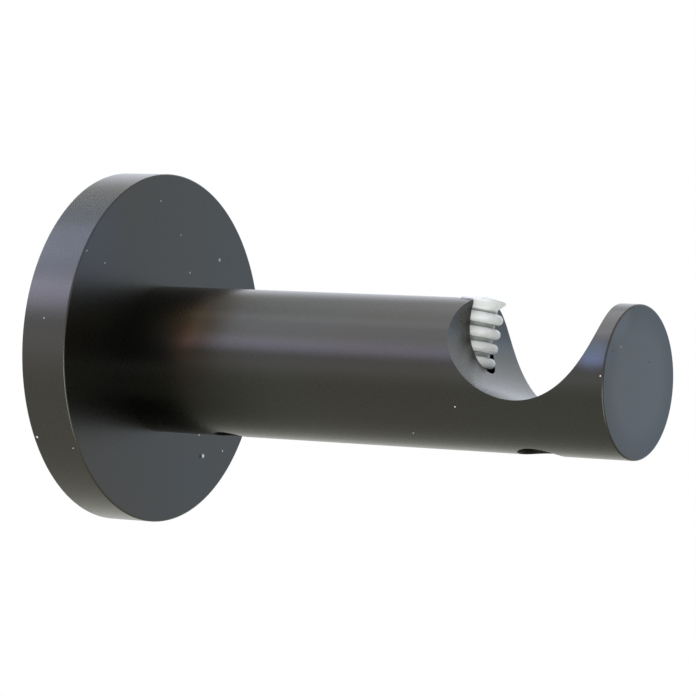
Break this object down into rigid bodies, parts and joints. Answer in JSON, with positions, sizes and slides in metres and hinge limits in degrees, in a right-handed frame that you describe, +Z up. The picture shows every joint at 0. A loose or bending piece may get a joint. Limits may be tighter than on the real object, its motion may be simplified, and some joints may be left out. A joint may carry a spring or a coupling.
{
  "type": "curtain pole bracket",
  "caption": "Round wall bracket for a curtain pole: a dark stem on a disc rose, cut from above to seat the pole, with a soft ringed grip plug standing in the cut.",
  "frame": {"origin": "on the stem's axis, in the plane of the wall", "axes": "+X away from the wall along the stem, Y along the pole, +Z up"},
  "size_m": [0.106, 0.0636, 0.0636],
  "materials": {
    "dark_plated_metal": "satin black nickel plating",
    "zinc_plated_steel": "bright zinc plating",
    "black_screw_steel": "blackened, oiled",
    "pale_soft_plug": "moulded, slightly glossy"
  },
  "bodies": {
    "root": {"stem": "dark_plated_metal", "wall_rose": "dark_plated_metal", "wall_plate": "zinc_plated_steel", "spigot": "zinc_plated_steel", "spigot_screw": "black_screw_steel", "stem_grub_screw": "black_screw_steel", "grip_plug": "pale_soft_plug"}
  },
  "joints": []
}
